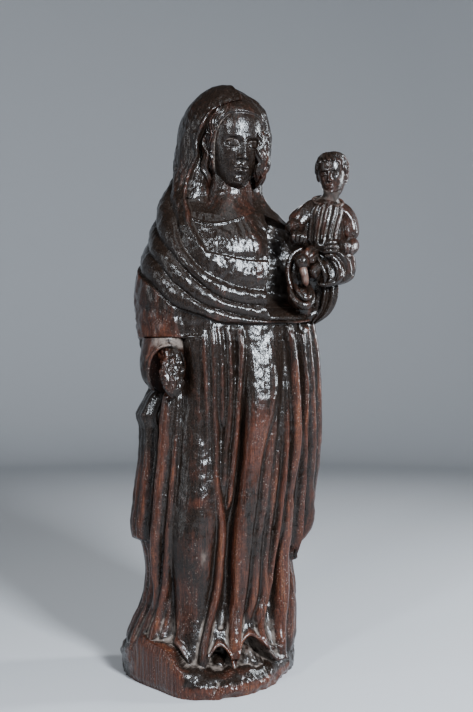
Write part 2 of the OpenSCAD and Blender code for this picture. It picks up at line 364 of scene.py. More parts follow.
def forged_iron():
    """Black iron with brown rust where a noise is high, and hammer marks."""
    g = Graph("forged_iron")
    rust = g.ramp(g.noise((220, 220, 220), 5, 0.65), 0.42, 0.6)
    g.put(g.shader.inputs["Base Color"], g.mix(rust, (0.055, 0.050, 0.048, 1), (0.075, 0.028, 0.012, 1)))
    g.put(g.shader.inputs["Metallic"], g.math("SUBTRACT", 0.9, rust, clamp=True))
    g.put(g.shader.inputs["Roughness"], g.ramp(rust, 0, 1, 0.45, 0.85))
    g.put(g.shader.inputs["Normal"], g.bump(g.noise((400, 400, 400), 3), 0.0004))
    return g.material


ROBE_WAX = waxed_wood("waxed_robe_wood", BLACK_BROWN, RED_BROWN, ORANGE_BROWN, 0.0, 0.55)
BARE_WOOD = bare_wood()
IRON = forged_iron()
DOWELS = ["mantle_board_dowels", "right_cuff_dowels", "right_forearm_dowel", "left_hand_dowel",
          "left_sleeve_dowel", "child_dowel", "child_neck_dowel"]
for name in DOWELS + ["crown_plug"]:
    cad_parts[name].data.materials.clear()
    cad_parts[name].data.materials.append(ROBE_WAX if name == "crown_plug" else BARE_WOOD)
print("made", ROBE_WAX.name, BARE_WOOD.name, IRON.name)

# %% [markdown]
# The robe starts from the log's plain outline: a rounded section at each height, the same rule
# as in the CAD model. Folds are then raised or cut square to that outline.

# %% Outline of the log
# Height, right edge (-X), left edge (+X), front depth, back depth, roundness of the section
STATIONS = np.array([
    [0, -120, 150, 108, 98, 2.3], [60, -122, 151, 112, 99, 2.3], [100, -121, 151, 112, 99, 2.3],
    [150, -119, 156, 107, 96, 2.4], [205, -126, 159, 107, 97, 2.4], [240, -134, 170, 107, 99, 2.5],
    [300, -130, 182, 108, 100, 2.5], [400, -118, 195, 108, 102, 2.5], [500, -114, 198, 108, 102, 2.5],
    [600, -124, 191, 112, 100, 2.5], [640, -127, 186, 113, 96, 2.5], [680, -121, 179, 111, 94, 2.5],
    [720, -109, 166, 105, 92, 2.4], [750, -99, 148, 96, 90, 2.3], [775, -90, 127, 84, 87, 2.2],
    [795, -84, 108, 70, 83, 2.2], [815, -74, 97, 58, 80, 2.2], [850, -62, 100, 62, 84, 2.1],
    [880, -58, 109, 74, 88, 2.1], [910, -54, 111, 82, 90, 2.1], [940, -47, 106, 80, 87, 2.1],
    [960, -37, 99, 74, 78, 2.1], [975, -25, 87, 62, 66, 2.1], [988, -10, 66, 46, 50, 2.1],
    [996, 3, 52, 32, 34, 2.1], [1000, 14, 42, 20, 22, 2.1],
])


def outline(turn, z):
    """Points of the plain log and the directions square to it, in plan. At a turn from the front
    the radius r obeys |r sin / half width| to the n plus |r cos / depth| to the n equals one."""
    low, high, front, back, n = (curve(STATIONS[:, [0, i]], z) for i in range(1, 6))
    s, c = np.sin(np.radians(turn)), np.cos(np.radians(turn))
    half, depth = (high - low) / 2, np.where(c > 0, front, back)
    r = ((np.abs(s) / half) ** n + (np.abs(c) / depth) ** n) ** (-1 / n)
    out_x = np.sign(s) * np.abs(s) ** (n - 1) / half**n
    out_y = -np.sign(c) * np.abs(c) ** (n - 1) / depth**n
    length = np.hypot(out_x, out_y)
    return (low + high) / 2 + r * s, -r * c, out_x / length, out_y / length


# %% [markdown]
# Each fold of the robe is a ridge that runs up the log along a curve of turn angles. Where two
# ridges meet, the higher one wins, which leaves the sharp valley that a gouge leaves. The list
# holds height, turn, half width in degrees and how far the ridge stands out.

# %% Folds of the robe
FOLDS = {
    "mantle_front_edge": [
        (30, -71, 6, 9), (96, -68, 6, 12), (187, -62, 5.5, 15), (247, -57.5, 5, 16), (333, -58.5, 5.2, 16),
        (459, -59, 5.2, 15), (500, -58, 5, 8),
    ],
    "mantle_second_edge": [
        (30, -57, 4, 5), (78, -59, 4, 9), (120, -58, 4, 11), (167, -53.5, 4, 12), (225, -49.5, 3.6, 12),
        (333, -50.5, 3.4, 11), (400, -52, 3, 8), (490, -53, 2, 3),
    ],
    "right_knee": [
        (30, -31, 11, 8), (82, -31, 14, 10), (142, -32, 18, 15), (207, -30, 21, 24), (271, -29, 21, 23),
        (336, -32, 18, 17), (400, -37, 15, 10), (460, -38, 13, 7), (570, -38, 11, 4),
    ],
    "thigh_pleat": [
        (300, -19, 2, 0), (352, -24, 3.8, 7), (389, -29, 4.2, 9), (442, -31, 4.2, 10), (523, -32, 4, 9),
        (562, -31, 3.4, 6), (585, -30, 2, 0),
    ],
    "long_pleat": [
        (30, -22, 4, 11), (46, -21, 4, 14), (87, -19, 4.4, 15), (137, -14, 5, 16), (193, -9, 5, 16),
        (248, -8, 5, 16), (292, -13, 4.8, 14), (335, -19, 4.6, 12), (389, -22.5, 4.4, 11),
        (442, -25.5, 4.4, 11), (523, -25, 4.4, 11), (565, -24, 3.6, 8), (588, -24, 2, 0),
    ],
    "v_pleat_right": [
        (408, -15, 1.5, 0), (434, -18.5, 3.2, 8), (465, -19.5, 3.8, 10), (521, -19.5, 4, 10),
        (565, -19, 3.4, 7), (588, -19, 2, 0),
    ],
    "v_pleat_left": [
        (280, -10, 2, 0), (335, -12, 4.2, 9), (384, -14, 4.2, 10), (421, -13, 4.2, 10),
        (465, -12.5, 4.2, 11), (530, -12, 4.2, 11), (565, -11, 3.6, 8), (588, -11, 2, 0),
    ],
    "middle_pleat": [
        (280, -4, 2, 0), (303, -4.5, 3, 7), (356, -6, 3.6, 11), (416, -6, 3.8, 12), (465, -5.5, 4.2, 13),
        (500, -4, 4.2, 13), (562, -1, 4, 11), (588, 0, 3, 0),
    ],
    "left_leg": [
        (50, 2, 4, 9), (67, 3, 5, 12), (114, 6, 7, 15), (157, 8.5, 8.5, 16), (212, 11.5, 10, 17),
        (290, 11.5, 10.5, 18), (367, 10.5, 10.5, 19), (399, 11, 11.5, 21), (430, 12.5, 14, 24),
        (480, 14.5, 17, 21), (530, 16, 18, 13), (560, 17, 18, 7), (595, 17, 15, 1),
    ],
    "left_thigh_side": [
        (100, 16, 4, 0), (125, 18.5, 5.5, 12), (157, 21, 6.5, 14), (256, 24, 7, 14), (349, 23.5, 8, 14),
        (441, 25, 8, 12), (500, 27, 8, 10), (560, 29, 7, 5),
    ],
    "left_side_pleat": [
        (95, 25, 2, 0), (109, 25, 4, 10), (144, 29, 4.4, 13), (198, 31.5, 4.6, 13), (256, 32, 4.6, 12),
        (349, 31.5, 4.6, 10), (420, 33, 4.6, 7), (560, 34, 4, 3),
    ],
    "thin_edge": [
        (60, 27, 3, 7), (101, 27, 3.2, 12), (131, 31, 3.2, 14), (176, 36, 3.2, 15), (231, 39.5, 3.2, 15),
        (309, 39, 3.2, 15), (374, 38, 3.2, 14), (440, 37, 3, 11), (500, 36, 2.6, 7), (560, 36, 2, 0),
    ],
    "hip_pleat": [
        (250, 47, 3, 0), (300, 46.5, 4, 8), (346, 46.5, 4.6, 13), (396, 46, 4.8, 17), (430, 44.5, 4.8, 18),
        (496, 42, 4.8, 19), (541, 41, 4.6, 18), (571, 40.5, 4, 14), (592, 40, 3, 4),
    ],
    "outer_pleat": [
        (40, 43, 6, 10), (57, 43, 6, 13), (93, 46.5, 6.5, 16), (182, 49, 6.5, 17), (228, 48.5, 6, 16),
        (281, 47, 5, 13), (330, 46.5, 4, 7), (380, 46, 3, 0),
    ],
    "mantle_joint_edge": [
        (160, 60, 2, 0), (190, 66, 2.4, 9), (216, 65, 2.6, 13), (261, 60, 2.6, 14), (328, 56, 2.6, 14),
        (418, 52.4, 2.6, 14), (484, 52, 2.6, 14), (540, 50, 2.6, 14), (575, 51, 2.6, 9),
    ],
    "mantle_fall_1": [
        (205, 74, 2, 0), (225, 73, 4, 13), (323, 65, 4.2, 14), (404, 61, 4.2, 14), (462, 58, 4.2, 14),
        (529, 56, 4, 14), (585, 55.5, 3.6, 9),
    ],
    "mantle_fall_2": [
        (225, 84, 2, 0), (260, 82, 5, 13), (323, 76, 5, 14), (391, 71, 5, 14), (461, 66.5, 5, 14),
        (546, 64, 5, 13), (590, 63, 4.6, 9),
    ],
    "lower_side_fall": [
        (36, 62, 7, 9), (60, 62, 8, 12), (120, 64, 8, 14), (190, 68, 6, 10), (230, 70, 4, 0),
    ],
    "lower_side_fall_2": [
        (36, 80, 7, 9), (60, 80, 8, 12), (120, 82, 8, 14), (190, 86, 7, 12), (230, 86, 4, 0),
    ],
}
# Grooves cut between the ridges: height, turn, half width in degrees, depth
GROOVES = [
    [(93, -7, 3, 5), (115, -5, 4, 7), (170, -3, 4.5, 8), (270, -1.5, 4, 8), (377, -1.5, 2.5, 7),
     (453, 0, 2.2, 6), (562, 4, 2, 3)],
    [(62, 36, 4, 6), (98, 35, 4.5, 8), (141, 39, 4.5, 8), (207, 44, 4, 7), (299, 43, 3.5, 4)],
    [(60, -46, 6, 8), (160, -46, 5, 8), (260, -44, 5, 7), (330, -45, 4.5, 6), (420, -47, 4, 4),
     (480, -48, 3, 2)],
]
# Turn, half width in degrees and height of the plainer folds
HANGING = [
    (92, 5, 9), (103, 5, 8), (115, 6, 6), (130, 7, 4), (150, 8, 3), (-165, 9, 3), (-140, 8, 4), (-122, 6, 6),
    (-108, 5, 8), (-96, 5, 9), (-84, 5, 10), (-77, 4, 9),
]
# How far the valleys lie inside the outline. The middling folds come out to it
ROBE_DEPTH = 11


def fold(points, turn, z, flat=False):
    """One ridge: a hump across the turn, whose middle, half width and height follow curves. A
    flat one is broad on top and falls off near its edges."""
    points = np.array(points, float)
    middle, half, height = (curve(points[:, [0, i]], z) for i in (1, 2, 3))
    inside = (z >= points[:, 0].min()) & (z <= points[:, 0].max())
    across = np.abs(turn - middle) / half
    fullness = 0.7 + 0.7 * step(6, 10, half)
    shape = hump(across**2, 1.2) if flat else hump(across, fullness)
    return np.where(inside, height * shape, 0)


def hanging_folds(turn, z):
    """Plainer folds round the sides and the back of the mantle: rows of humps a set turn apart,
    which drift a little as they rise. Those at the back run up to the shoulders."""
    relief = np.zeros_like(z)
    for middle, half, height in HANGING:
        drift = 2.5 * np.sin(z / 90 + middle)
        away = (turn - middle - drift + 180) % 360 - 180
        top = 700 if abs(middle) > 118 else 540
        tall = (height + 3) * step(30, 60, z) * (1 - step(top, top + 60, z))
        relief = np.maximum(relief, tall * hump(away / half / 1.25, 0.7))
    return relief


def robe_relief(turn, z):
    """Height of the carved robe over the log's outline, below the mantle's hem."""
    relief = hanging_folds(turn, z)
    for name, points in FOLDS.items():
        relief = np.maximum(relief, fold(points, turn, z, flat=name == "left_leg"))
    for points in GROOVES:
        relief = relief - fold(points, turn, z) * step(6, 0, relief)
    return relief - ROBE_DEPTH


print(len(FOLDS), "drawn folds and", len(GROOVES), "grooves")

# %% [markdown]
# The terrace is the rough foot of the log. It is left standing in front, with one flat facet at
# the figure's right. The hem of the robe arches up over the shoes.

# %% Terrace and hem
# Turn from the front, and how far the terrace reaches from the middle of the log
TERRACE = [
    (-180, 104), (-140, 114), (-115, 140), (-97, 159), (-80, 154), (-62, 152), (-49, 154), (-41, 161),
    (-31, 172), (-13, 170), (2, 161), (18, 150), (40, 134), (66, 130), (88, 139), (112, 130), (140, 114),
    (180, 104),
]
# Turn, and the height of the terrace's top
TERRACE_TOP = [
    (-180, 45), (-120, 52), (-90, 66), (-72, 76), (-58, 78), (-48, 74), (-40, 66), (-34, 54), (-28, 41),
    (-20, 33), (-5, 30), (12, 34), (30, 38), (45, 42), (70, 46), (100, 50), (180, 45),
]
# Turn, and the height of the hem: arches over the shoes, and the ends of the folds between them
HEM = [
    (-180, 40), (-100, 45), (-62, 45), (-53, 46), (-49, 60), (-44, 70), (-37, 69), (-30, 50), (-25, 26),
    (-20, 26), (-16, 50), (-11, 67), (-5, 64), (-1, 50), (2, 32), (5, 48), (9, 68), (16, 80), (22, 76),
    (28, 56), (34, 38), (44, 36), (60, 38), (100, 40), (180, 40),
]
# Turn, height, half width in degrees, half height and reach of each toe
SHOES = [(-39, 40, 8, 24, 4), (-9, 38, 10, 26, 14), (14, 46, 12, 36, 19), (24, 40, 7, 26, 14)]
UNDER_HEM = 26
LOG_MIDDLE = 12


def with_foot(relief, turn, z, x, y):
    """Displacement of the lowest part: under the hem the wood is cut back, the shoes fill the
    arches, and the terrace stands out further than either."""
    hem = curve(HEM, turn) + 2 * noise(turn / 4 + 99, z / 30, 7)
    under = 1 - step(hem - 3, hem + 1, z)
    front = step(-56, -48, turn) * step(52, 40, turn)
    lip = 5 * bell((z - hem - 5) / 6) * front
    left = step(-40, -58, turn)
    spread = 21 * step(125, 52, z) * left + 25 * step(150, 32, z) ** 1.5 * (1 - left)
    spread *= step(-140, -110, turn) * step(54, 36, turn)
    relief = (relief + lip + spread) * (1 - under) - UNDER_HEM * under
    for middle, height, half, tall, out in SHOES:
        away = ((turn - middle) / half) ** 2 + ((z - height + 14) / tall) ** 2
        toe = (out + 24) * np.clip(1 - away, 0, 1) ** 0.35 - UNDER_HEM + 2.2 * noise(turn / 3 + 99, z / 7, 6)
        relief = np.where(under > 0.5, np.maximum(relief, toe), relief)
    top = curve(TERRACE_TOP, turn) + 5 * noise(turn / 11 + 50, turn / 90, 8)
    chips = 3.0 * noise(turn / 6 + 80, z / 11, 9) + 1.6 * noise(turn / 2.5 + 80, z / 7, 10)
    facet = step(-80, -66, turn) * step(-20, -32, turn)
    reach = curve(TERRACE, turn) + chips * (1 - facet) + facet * 0.8 * noise(turn * 1.5 + 90, z / 40, 11)
    reach = reach - (14 - 9 * facet) * step(top - 26, top + 2, z) ** 2 - 3 * step(12, 0, z)
    reach = reach - 200 * step(top - 4, top + 26 - 12 * facet, z) ** 1.4
    return np.maximum(relief, reach - np.hypot(x - LOG_MIDDLE, y))


print(len(SHOES), "toes under a hem of", len(HEM), "points")

# %% [markdown]
# Above the waist the mantle is drawn across the body in rolls, from her right shoulder to her
# left side. Each roll lies between two lines that climb to the right shoulder.

# %% Rolls of the mantle
# Lines across the body: turn and height
HEM_LINE = [
    (-180, 640), (-140, 690), (-110, 700), (-79, 671), (-63, 650), (-48.5, 617), (-36, 605), (-28, 599),
    (-20, 592), (-2.5, 588), (17.5, 588), (33.5, 590), (42, 589), (57, 593), (80, 606), (110, 620),
    (180, 640),
]
ROLL_LINE_1 = [
    (-180, 660), (-110, 742), (-79, 712), (-59, 683), (-49, 657), (-41, 640), (-30, 621), (-19, 612),
    (-2, 603), (12, 597), (24, 594), (60, 600), (80, 612), (110, 626),
]
ROLL_LINE_2 = [
    (-180, 680), (-110, 790), (-80, 752), (-62, 722), (-51, 700), (-42.5, 680), (-32, 657), (-18, 634),
    (-1, 622), (20, 618), (30, 617), (60, 620), (110, 640),
]
ROLL_LINE_3 = [
    (-180, 700), (-110, 850), (-80, 812), (-66, 786), (-53.5, 754), (-47, 723), (-37, 694), (-26, 671),
    (-11.5, 657), (0, 649), (21, 643), (30, 642), (60, 645), (110, 660),
]
BODICE_HEM = [(-110, 740), (-40, 712), (-25, 705), (-8.5, 698), (10, 692), (28, 692), (110, 700)]
NECKLINE = [(-60, 790), (-36.5, 762), (-20, 755), (-3, 759), (18, 771), (40, 788), (80, 800)]
# Lines up the body: height and turn
VEIL_RIGHT_EDGE = [
    (690, -22), (705, -26), (723, -31), (749, -38), (772, -41), (802, -47), (822, -51), (845, -49),
    (868, -42), (899, -41), (918, -35), (938, -27), (950, -16), (958, 0), (962, 12),
]
VEIL_LEFT_EDGE = [
    (690, 34), (740, 38), (772, 46), (791, 53.5), (837, 66), (870, 62), (910, 54), (937, 43), (950, 30),
    (958, 20), (962, 12),
]
TORSO_EDGE = [(590, 24), (616, 24), (660, 26), (700, 29), (727, 31.5), (750, 37), (768, 44)]


def roll(lower, upper, turn, z, height):
    """A rounded roll between two lines: a half wave across it, raised to a low power."""
    low, high = curve(lower, turn), curve(upper, turn)
    share = np.clip((z - low) / (high - low), 0, 1)
    return height * np.sin(np.pi * share) ** 0.6


def mantle_relief(turn, z):
    """Displacement above the mantle's hem: the rolls, the bodice a step below them, and the
    veil's edge a step above the bodice."""
    relief = np.zeros_like(z)
    lines = HEM_LINE, ROLL_LINE_1, ROLL_LINE_2, ROLL_LINE_3
    for lower, upper, height in zip(lines, lines[1:], (7, 7, 8)):
        relief += roll(lower, upper, turn, z, height)
    relief += 5 * step(0, 26, z - curve(ROLL_LINE_3, turn))
    veil_edge = curve(VEIL_RIGHT_EDGE, z)
    bodice = step(-1.2, 1.2, turn - veil_edge) * step(-2, 2, z - curve(BODICE_HEM, turn)) * step(75, 55, turn)
    chest = 7 * bell((z - 722) / 26) * (bell((turn + 10) / 13) + bell((turn - 13) / 12))
    relief = relief * (1 - bodice) + bodice * (-1 + chest)
    relief += 3.5 * bell((turn - veil_edge + 3) / 2.2) * step(690, 720, z)
    neckline = curve(NECKLINE, turn)
    skin_side = step(-1.5, 1.5, z - neckline) * bodice
    relief += bodice * 1.8 * bell((z - neckline + 2) / 2.2) - 3 * skin_side
    return relief


front, shoulder = curve(ROLL_LINE_3, 0), curve(ROLL_LINE_3, -110)
print("the upper roll rises from", front, "in front to", shoulder, "at the shoulder")

# %% [markdown]
# The log and the boards let into it share one carved surface, since the carver worked over the
# joints. It joins the robe, the rolls, the right sleeve and the foot, and says where the wax is
# worn, dusty or rubbed red, and where shade is painted into it.

# %% The carved surface
# The left board's front edge, as height and turn, and the boards' lower ends, as turn and height
LEFT_EDGE = [(200, 65), (216, 64), (261, 59), (328, 55), (418, 51), (484, 51), (540, 49), (600, 50)]
LEFT_FOOT = [(48, 205), (64, 210), (70, 188), (76, 200), (84, 224), (95, 215), (123, 212)]
RIGHT_FOOT = [(-113, 214), (-100, 220), (-90, 226), (-78, 232), (-66, 226)]


def rolled_share(turn, z):
    """How much of the surface is rolled mantle: all of it in front and on the head, none on the
    back, where the robe's plain folds run up to the shoulders."""
    return np.maximum(step(-152, -118, turn) * step(132, 104, turn), step(745, 800, z))


def carved(turn, z):
    """The carved surface at each turn and height: the points, the directions square to the
    plain outline, and the marks for the material."""
    x, y, out_x, out_y = outline(turn, z)
    low, away = step(110, 66, z), np.hypot(x - LOG_MIDDLE, y)
    out_x = out_x * (1 - low) + low * (x - LOG_MIDDLE) / away
    out_y = out_y * (1 - low) + low * y / away
    arc = (turn / 360) % 1
    above_hem = step(-1.5, 1.5, z - curve(HEM_LINE, turn)) * rolled_share(turn, z)
    relief = blurred(robe_relief(turn, z), 5) * (1 - above_hem) + above_hem * (mantle_relief(turn, z) - 6)
    # Under the ends of the side boards the robe lies deeper
    under_left = step(4, -4, z - curve(LEFT_FOOT, turn)) * step(52, 62, turn) * step(150, 123, turn) * (z > 100)
    under_right = step(4, -4, z - curve(RIGHT_FOOT, turn)) * step(-62, -67, turn) * step(-140, -113, turn)
    relief -= 12 * step(90, 190, z) * (under_left + under_right)
    # A fold over the left sleeve's dowel, and the mantle's flap below the right elbow
    relief += 13 * bell((turn - 84) / 13, (z - 607) / 15)
    # side: the right side below the elbow, with its flap. carved_marks paints it darker there as shade.
    side = step(-61, -67, turn) * step(-150, -120, turn)
    flap = (7 - 20 * np.clip((z - 438) / 42, 0, 1)) * step(414, 438, z) * step(565, 520, z)
    relief += side * (flap - 3 * step(430, 360, z))
    # The plain right sleeve, and the gap that the cuff hangs in
    sleeve = step(-44, -50, turn) * step(-128, -112, turn) * step(562, 568, z) * (1 - above_hem)
    relief = relief * (1 - sleeve) + sleeve * (5 * hump((turn + 76) / 34) - 4 + noise(arc * 90, z / 12, 5))
    cuff_gap = step(-40, -52, turn) * step(-96, -88, turn) * step(566, 563, z) * step(466, 500, z)
    relief = relief * (1 - cuff_gap) - 26 * cuff_gap
    # Tool marks, stronger above the waist
    strength = 0.6 + 0.5 * step(560, 600, z)
    relief += strength * 1.1 * noise(arc * 52, z / 15, 1, wrap=52)
    relief += strength * 0.7 * noise(arc * 110, z / 7.5, 2, wrap=110)
    relief += (0.3 - 0.2 * step(540, 600, z)) * noise(arc * 400, z / 60, 3, wrap=400)
    relief += 1.6 * step(962, 985, z) * noise(arc * 40, z / 8, 4, wrap=40)
    relief = np.where(z < 140, with_foot(relief, turn, z, x, y), relief)
    marks = carved_marks(relief, turn, z, side, sleeve)
    return x + out_x * relief, y + out_y * relief, out_x, out_y, marks


def carved_marks(relief, turn, z, side, sleeve):
    """Wear, dust and tone of the carved surface. Wear and dust follow the relief, and dust also
    lies under the hem. tone is redder low on the robe, on the sleeve, the thigh and the sawn
    facet, and darker on the knee and the rolls. tone is also darker as painted shade in the
    broad hollows, under the hem's arches and on the right side below the elbow, flap included."""
    # broad holds wear on the broad ridges, which the tone rubs red, and the broad hollows, which the tone
    # paints darker as shade.
    fine, broad = worn(relief), worn(relief, 100, 4.5)
    dusty = step(125, 95, z) + 0.35 * step(560, 600, z)
    marks = {"dust": fine["dust"] * dusty,
             "wear": fine["wear"] * (1 - 0.7 * step(560, 620, z)) * (1 - 0.75 * step(75, 45, z))}
    hem, top = curve(HEM, turn), curve(TERRACE_TOP, turn)
    front = step(-60, -52, turn) * step(50, 42, turn) * (z < 120) * step(top + 2, top + 12, z)
    rim = bell((z - hem - 3) / 6) * (0.55 + 0.45 * noise(turn / 3 + 99, z / 8, 18))
    # arch: the hollows under the hem. Dust settles in them, and the tone below paints them darker as shade.
    arch = step(hem + 2, hem - 4, z)
    settled = arch * (0.3 + 0.35 * step(0, 12, turn)) * (0.7 + 0.5 * noise(turn / 4 + 99, z / 10, 19))
    marks["dust"] = np.maximum(marks["dust"], front * np.maximum(0.75 * rim, settled))
    sawn = step(-84, -76, turn) * step(-26, -33, turn) * step(top - 2, top - 8, z)
    sawn = np.maximum(sawn, 0.7 * step(-84, -76, turn) * step(70, 60, turn) * step(24, 14, z))
    marks["wear"] = np.maximum(marks["wear"], sawn)
    knee = bell((turn + 34) / 12, (z - 235) / 110)
    thigh = bell((turn - 12) / 9, (z - 400) / 55)
    thigh += bell((turn + 30) / 5, (z - 300) / 9)
    shin = bell((turn + 22) / 4, (z - 210) / 24) * (0.8 + 0.4 * noise(turn / 2 + 99, z / 7, 20))
    marks["wear"] = np.maximum(marks["wear"], 0.9 * thigh)
    marks["dust"] = np.maximum(marks["dust"], 0.62 * shin)
    marks["tone"] = (0.35 * step(520, 330, z) - 0.3 * step(560, 640, z) + 0.6 * sleeve - 0.45 * knee
                     - side * step(330, 420, z) * step(565, 555, z) + 0.9 * thigh
                     - 0.5 * step(75, 50, z) * (1 - sawn) + 1.3 * sawn - 0.6 * front * arch
                     + 0.4 * broad["wear"] - 1.1 * broad["dust"])
    return marks


print("depth of the log at chest height:", round(float(curve(STATIONS[:, [0, 3]], 722)), 1), "in front")

# %% [markdown]
# Two cuts go deep into the log: the recess behind the Child, and the opening of the veil, where
# the head sits. Both are cut straight back, so only the depth of their points changes.

# %% Recess and veil opening
RECESS_BACK = -34
# Turn, and the height of the recess's upper edge
RECESS_TOP = [(40, 772), (55, 762), (75, 750), (110, 742)]
# Height, and how far back the opening of the veil is cut
VEIL_DEPTH = [
    (745, -120), (764, -88), (776, -66), (790, -50), (805, -38), (830, -26), (860, -18), (900, -20),
    (925, -42), (945, -58), (962, -70),
]


def pockets(y, turn, z):
    """The depth of each point after the two cuts, and the share of each cut there. Inside a cut
    no point stands further forward than its back, which is roughly gouged."""
    rough = 1.8 * noise(turn / 4 + 90, z / 9, 15) + 0.8 * noise(turn / 2 + 90, z / 4, 16)
    recess = step(-1.5, 1.5, turn - curve(TORSO_EDGE, z)) * (turn < 120)
    recess = recess * step(594, 645, z) * step(7, -7, z - curve(RECESS_TOP, turn))
    moved = np.maximum(RECESS_BACK + 0.5 * rough - y, 0)
    y, recess = y + recess * moved, recess * step(0, 4, moved)
    opening = step(-0.8, 0.8, turn - curve(VEIL_RIGHT_EDGE, z)) * (z < 962) * (z > 745)
    opening = opening * step(0.8, -0.8, turn - curve(VEIL_LEFT_EDGE, z))
    depth = curve(VEIL_DEPTH, z) - 20 * step(-12, -34, turn) * step(790, 840, z)
    moved = np.maximum(depth + 0.4 * rough - y, 0)
    return y + opening * moved, recess, opening * step(4, 16, moved)


print("the veil is cut back to", curve(VEIL_DEPTH, 860), "at the face,", curve(VEIL_DEPTH, 764), "at the neck")

# %% [markdown]
# Each board is a slab under the carved surface, and the log is sunk where a board lies, so the
# two meet in a thin upright line. The back board also has dimples for its nails.

# %% Boards and nails
def back_turn(x, z):
    """The turn at which the plain log's back lies at a place across, from the section's rule."""
    low, high, front, back, n = (curve(STATIONS[:, [0, i]], z) for i in range(1, 6))
    across = x - (low + high) / 2
    return np.degrees(np.arctan2(across, -back * (1 - np.abs(2 * across / (high - low)) ** n) ** (1 / n)))


def board_seat(turn, z):
    """How far the log is sunk under its boards: ten millimetres, with upright edges."""
    left = (turn > curve(LEFT_EDGE, z) + 1) * (turn < 121) * (z > curve(LEFT_FOOT, turn) + 2) * (z < 588)
    right = (turn < -67.6) * (turn > -111) * (z > curve(RIGHT_FOOT, turn) + 2) * (z < 598)
    back = ((turn > back_turn(86, z)) | (turn < back_turn(-36, z))) * (z > 92) * (z < 718)
    return 10.0 * (left | right | back)


def board(start, end, low, high, rows, cols, thick=15, change=None):
    """A slab under the carved surface, between two turns, each a number or a rule by height. low
    is a height, or a curve of heights by turn. The ring goes along the face and back along the
    rear. change says how far the face is cut back at each place."""
    share, rise = np.meshgrid(np.linspace(0, 1, cols), np.linspace(0, 1, rows))
    middle = (low if np.isscalar(low) else np.mean([h for _, h in low])) * (1 - rise) + high * rise
    start, end = (edge if np.isscalar(edge) else edge(middle) for edge in (start, end))
    turn = start + (end - start) * share
    foot = low if np.isscalar(low) else curve(low, turn)
    z = foot + (high - foot) * rise
    turn = (turn + 180) % 360 - 180
    x, y, out_x, out_y, marks = carved(turn, z)
    drop = (change(x, z) if change else 0) - 0.8
    x, y = x - out_x * drop, y - out_y * drop
    rear_x, rear_y = x - out_x * thick, y - out_y * thick
    ring = [np.concatenate([face, rear[:, ::-1]], 1) for face, rear in ((x, rear_x), (y, rear_y), (z, z))]
    marks = {key: np.concatenate([value, value[:, ::-1]], 1) for key, value in marks.items()}
    return *ring, marks, band_ends


NAILS = [(x, z) for x in (-31, 81) for z in (120, 320, 500, 690)]


def nail_dimples(x, z):
    """Round sinkings under the eight nails of the back board."""
    depth = np.zeros_like(x)
    for nail_x, nail_z in NAILS:
        depth += 3 * step(10, 6, np.hypot(x - nail_x, z - nail_z))
    return depth


def nail(piece, x, z):
    """A forged nail: a low domed head, hammered, on a shank that goes into the piece. The head
    sits where the skin of the piece is furthest back within four millimetres."""
    points = np.empty(len(piece.data.vertices) * 3, np.float32)
    piece.data.vertices.foreach_get("co", points)
    points = points.reshape(-1, 3) / K
    y = points[np.hypot(points[:, 0] - x, points[:, 2] - z) < 4, 1].max()
    head = egg((x, y, z), (6, 2.4, 6), 30, 40, lambda a, b: 0.25 * noise(a / 30 + 20, b / 30 + 9, 17))
    return [head, tube([(x, y, z), (x, y - 12, z), (x, y - 24, z)], [2, 2, 1.2], 12, 16)]


print(len(NAILS), "nails in the back board")

# %% [markdown]
# The log is made in four rings, one above the other, and the boards after it. The top ring ends
# just under the end of the crown plug, which stands a little proud of the veil.

# %% The log and its boards
# Columns of the log's grid: close together in front and at the sides, wider at the back
TURNS = np.concatenate([np.linspace(start, end, count, endpoint=False)
                        for start, end, count in ((-180, -100, 45), (-100, 100, 300), (100, 180, 45))])


def log_part(low, high, rows):
    """The log's skin between two heights."""
    turn, z = np.meshgrid(TURNS, np.linspace(low, high, rows))
    x, y, out_x, out_y, marks = carved(turn, z)
    sunk = board_seat(turn, z)
    y, recess, opening = pockets(y - out_y * sunk, turn, z)
    marks["dust"] = np.maximum(marks["dust"], np.maximum(0.42 * recess, 0.3 * opening))
    marks["tone"] = marks["tone"] * (1 - opening) - 0.1 * opening
    return x - out_x * sunk, y, z, marks, fan_ends


robe_foot = skin("robe_foot_and_terrace", [log_part(0, 250, 250)], ROBE_WAX)
robe_top = skin("robe_upper_folds", [log_part(250, 560, 250)], ROBE_WAX)
torso = skin("mantle_and_bodice", [log_part(560, 800, 250)], ROBE_WAX)
veil = skin("veil", [log_part(800, 998.6, 240)], ROBE_WAX)
left_board = skin("left_mantle_skin", [
    board(lambda z: curve(LEFT_EDGE, z), 123, LEFT_FOOT, 590, 200, 110),
], ROBE_WAX)
right_board = skin("right_mantle_skin", [board(-66.6, -113, RIGHT_FOOT, 600, 200, 90)], ROBE_WAX)
back_board = skin("back_board_skin", [
    board(lambda z: back_turn(89, z), lambda z: back_turn(-39, z) + 360, 90, 720, 250, 120, 9, nail_dimples),
], ROBE_WAX)
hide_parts("trunk")
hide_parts("left_mantle_board")
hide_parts("right_mantle_board")
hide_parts("back_board")

# %% [markdown]
# Arms, legs and rolled hems are tubes: an oval carried along a curve. Heads, hands and knees are
# eggs. Both can be raised or cut by a relief, which is a rule of the place on the form.

